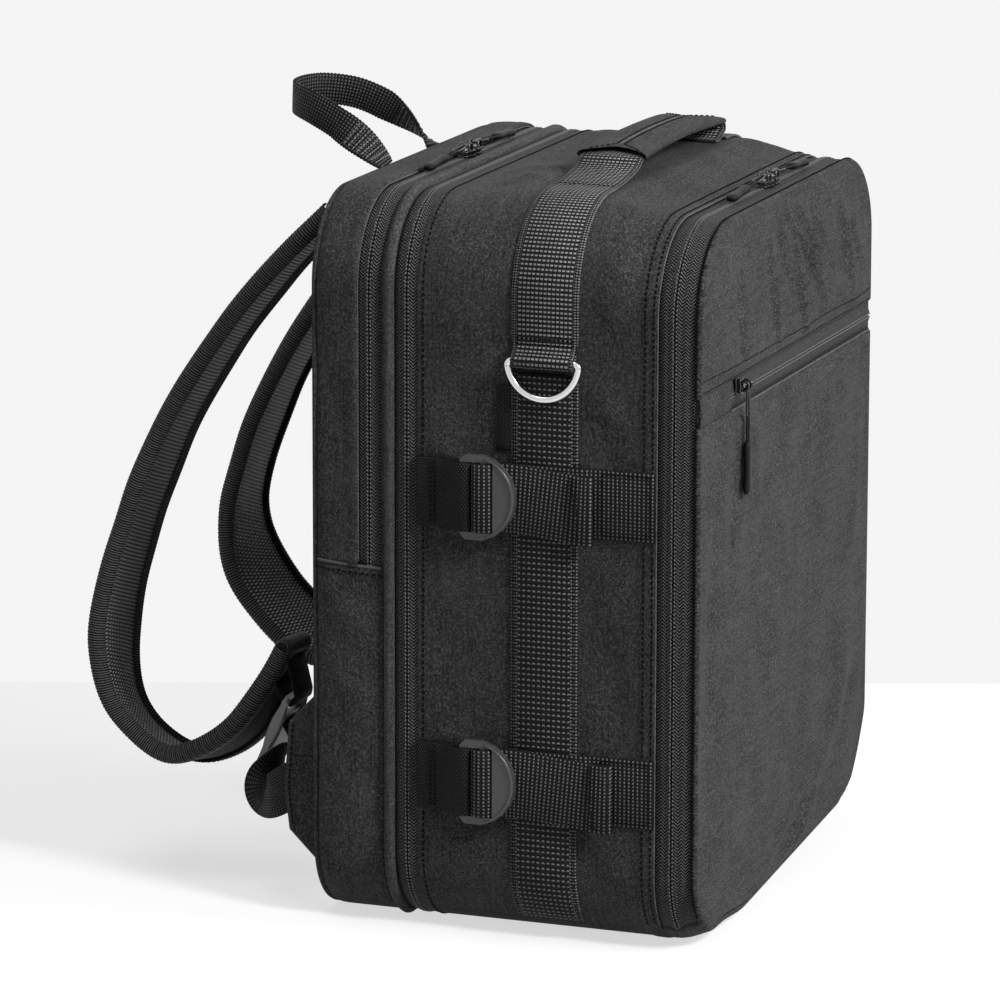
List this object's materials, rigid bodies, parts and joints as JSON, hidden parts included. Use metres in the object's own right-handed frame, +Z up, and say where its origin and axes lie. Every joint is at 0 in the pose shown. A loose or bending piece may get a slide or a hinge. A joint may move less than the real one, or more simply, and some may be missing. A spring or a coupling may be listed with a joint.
{
  "type": "travel backpack",
  "caption": "Boxy black cabin backpack with a zip-open front panel, laptop section, side compression straps, carrying rings, handles and padded shoulder straps.",
  "frame": {"origin": "middle of the base, on the floor", "axes": "+Z up, +X to the right seen from the front, the front panel faces -Y, the shoulder straps are at +Y"},
  "size_m": [0.3296, 0.3883, 0.446],
  "materials": {
    "cloth": "matte woven polyester",
    "lining": "matte lining cloth",
    "zip_tape": "woven zip tape",
    "webbing": "ribbed webbing",
    "mesh": "spacer mesh",
    "plastic": "satin moulded",
    "gunmetal": "glossy dark metal",
    "chrome": "polished"
  },
  "bodies": {
    "bag": {"main_shell": "cloth", "base_board": "lining", "front_hinge_strip": "cloth", "main_zip_body_tape": "zip_tape", "expansion_zip_front_tape": "zip_tape", "side_webbing": "webbing", "ring_webbing": "webbing", "label_tab": "webbing", "strap_anchors": "webbing", "left_upper_strap": "webbing", "left_lower_strap": "webbing", "right_upper_strap": "webbing", "right_lower_strap": "webbing", "handle_webbing": "webbing", "expansion_gusset": "lining"},
    "left_upper_lock": {"left_upper_buckle": "plastic"},
    "left_lower_lock": {"left_lower_buckle": "plastic"},
    "right_upper_lock": {"right_upper_buckle": "plastic"},
    "right_lower_lock": {"right_lower_buckle": "plastic"},
    "left_ring": {"left_d_ring": "chrome"},
    "right_ring": {"right_d_ring": "chrome"},
    "handle": {"handle_sleeve": "cloth"},
    "flap": {"front_top_panel": "cloth", "front_pocket_panel": "cloth", "front_liner": "lining", "pocket_zip_tapes": "zip_tape", "main_zip_flap_tape": "zip_tape"},
    "pocket_runner": {"pocket_slider": "gunmetal"},
    "pocket_tag": {"pocket_pull": "gunmetal"},
    "main_left_runner": {"main_left_slider": "gunmetal"},
    "main_left_tag": {"main_left_pull": "gunmetal"},
    "main_right_runner": {"main_right_slider": "gunmetal"},
    "main_right_tag": {"main_right_pull": "gunmetal"},
    "rear": {"expansion_zip_rear_tape": "zip_tape", "piping": "cloth", "rear_gusset": "cloth", "divider": "lining", "back_panel": "cloth", "back_pads": "mesh", "laptop_sleeve": "lining", "laptop_zip_front_tape": "zip_tape", "laptop_zip_rear_tape": "zip_tape", "strap_yoke": "cloth", "strap_tabs": "cloth", "left_adjuster": "webbing", "right_adjuster": "webbing"},
    "laptop_left_runner": {"laptop_left_slider": "gunmetal"},
    "laptop_left_tag": {"laptop_left_pull": "gunmetal"},
    "laptop_right_runner": {"laptop_right_slider": "gunmetal"},
    "laptop_right_tag": {"laptop_right_pull": "gunmetal"},
    "loop": {"haul_loop": "webbing"},
    "left_strap": {"left_strap_pad": "mesh", "left_strap_binding": "webbing", "left_buckle_loop": "webbing"},
    "left_lock": {"left_strap_buckle": "plastic"},
    "right_strap": {"right_strap_pad": "mesh", "right_strap_binding": "webbing", "right_buckle_loop": "webbing"},
    "right_lock": {"right_strap_buckle": "plastic"}
  },
  "joints": [
    {"name": "front_panel_hinge", "type": "hinge", "parent": "bag", "child": "flap", "pos_m": [0, -0.109, 0.004], "axis": [1, 0, 0], "range_deg": [0, 85]},
    {"name": "expansion_slide", "type": "slide", "parent": "bag", "child": "rear", "axis": [0, 1, 0], "range_m": [0, 0.05], "deforming": ["expansion_gusset"]},
    {"name": "left_upper_buckle_tilt", "type": "hinge", "parent": "bag", "child": "left_upper_lock", "pos_m": [-0.1604, 0.02, 0.249], "axis": [0, 0, -1], "range_deg": [0, 35], "deforming": ["left_upper_strap"]},
    {"name": "left_lower_buckle_tilt", "type": "hinge", "parent": "bag", "child": "left_lower_lock", "pos_m": [-0.1604, 0.02, 0.09], "axis": [0, 0, -1], "range_deg": [0, 35], "deforming": ["left_lower_strap"]},
    {"name": "left_ring_swing", "type": "hinge", "parent": "bag", "child": "left_ring", "pos_m": [-0.1572, -0.024, 0.325], "axis": [0, 1, 0], "range_deg": [0, 150]},
    {"name": "left_strap_lift", "type": "hinge", "parent": "rear", "child": "left_strap", "pos_m": [-0.082, 0.1193, 0.392], "axis": [1, 0, 0], "range_deg": [0, 40], "deforming": ["left_adjuster"]},
    {"name": "left_strap_buckle_tilt", "type": "hinge", "parent": "left_strap", "child": "left_lock", "pos_m": [-0.082, 0.1503, 0.108], "axis": [1, 0, 0], "range_deg": [-30, 5], "deforming": ["left_adjuster"]},
    {"name": "right_upper_buckle_tilt", "type": "hinge", "parent": "bag", "child": "right_upper_lock", "pos_m": [0.1604, 0.02, 0.249], "axis": [0, 0, 1], "range_deg": [0, 35], "deforming": ["right_upper_strap"]},
    {"name": "right_lower_buckle_tilt", "type": "hinge", "parent": "bag", "child": "right_lower_lock", "pos_m": [0.1604, 0.02, 0.09], "axis": [0, 0, 1], "range_deg": [0, 35], "deforming": ["right_lower_strap"]},
    {"name": "right_ring_swing", "type": "hinge", "parent": "bag", "child": "right_ring", "pos_m": [0.1572, -0.024, 0.325], "axis": [0, -1, 0], "range_deg": [0, 150]},
    {"name": "right_strap_lift", "type": "hinge", "parent": "rear", "child": "right_strap", "pos_m": [0.082, 0.1193, 0.392], "axis": [1, 0, 0], "range_deg": [0, 40], "deforming": ["right_adjuster"]},
    {"name": "right_strap_buckle_tilt", "type": "hinge", "parent": "right_strap", "child": "right_lock", "pos_m": [0.082, 0.1503, 0.108], "axis": [1, 0, 0], "range_deg": [-30, 5], "deforming": ["right_adjuster"]},
    {"name": "carry_handle_lift", "type": "slide", "parent": "bag", "child": "handle", "axis": [0, 0, 1], "range_m": [-0.003, 0.008], "deforming": ["handle_webbing"]},
    {"name": "haul_loop_flop", "type": "hinge", "parent": "rear", "child": "loop", "pos_m": [0, 0.1135, 0.405], "axis": [1, 0, 0], "range_deg": [-40, 35]},
    {"name": "main_left_zip_run", "type": "slide", "parent": "bag", "child": "main_left_runner", "axis": [-1, 0, 0], "range_m": [0, 0.08]},
    {"name": "main_left_pull_lift", "type": "hinge", "parent": "main_left_runner", "child": "main_left_tag", "pos_m": [-0.002, -0.097, 0.4065], "axis": [0, 1, 0], "range_deg": [0, 90]},
    {"name": "main_right_zip_run", "type": "slide", "parent": "bag", "child": "main_right_runner", "axis": [1, 0, 0], "range_m": [0, 0.08]},
    {"name": "main_right_pull_lift", "type": "hinge", "parent": "main_right_runner", "child": "main_right_tag", "pos_m": [0.012, -0.097, 0.4065], "axis": [0, -1, 0], "range_deg": [0, 90]},
    {"name": "laptop_left_zip_run", "type": "slide", "parent": "rear", "child": "laptop_left_runner", "axis": [-1, 0, 0], "range_m": [0, 0.08]},
    {"name": "laptop_left_pull_lift", "type": "hinge", "parent": "laptop_left_runner", "child": "laptop_left_tag", "pos_m": [-0.005, 0.078, 0.4135], "axis": [0, 1, 0], "range_deg": [0, 90]},
    {"name": "laptop_right_zip_run", "type": "slide", "parent": "rear", "child": "laptop_right_runner", "axis": [1, 0, 0], "range_m": [0, 0.08]},
    {"name": "laptop_right_pull_lift", "type": "hinge", "parent": "laptop_right_runner", "child": "laptop_right_tag", "pos_m": [0.009, 0.078, 0.4135], "axis": [0, -1, 0], "range_deg": [0, 90]},
    {"name": "pocket_zip_run", "type": "slide", "parent": "flap", "child": "pocket_runner", "axis": [1, 0, 0], "range_m": [0, 0.17]},
    {"name": "pocket_pull_swing", "type": "hinge", "parent": "pocket_runner", "child": "pocket_tag", "pos_m": [-0.09, -0.1177, 0.3065], "axis": [-1, 0, 0], "range_deg": [0, 100]}
  ]
}
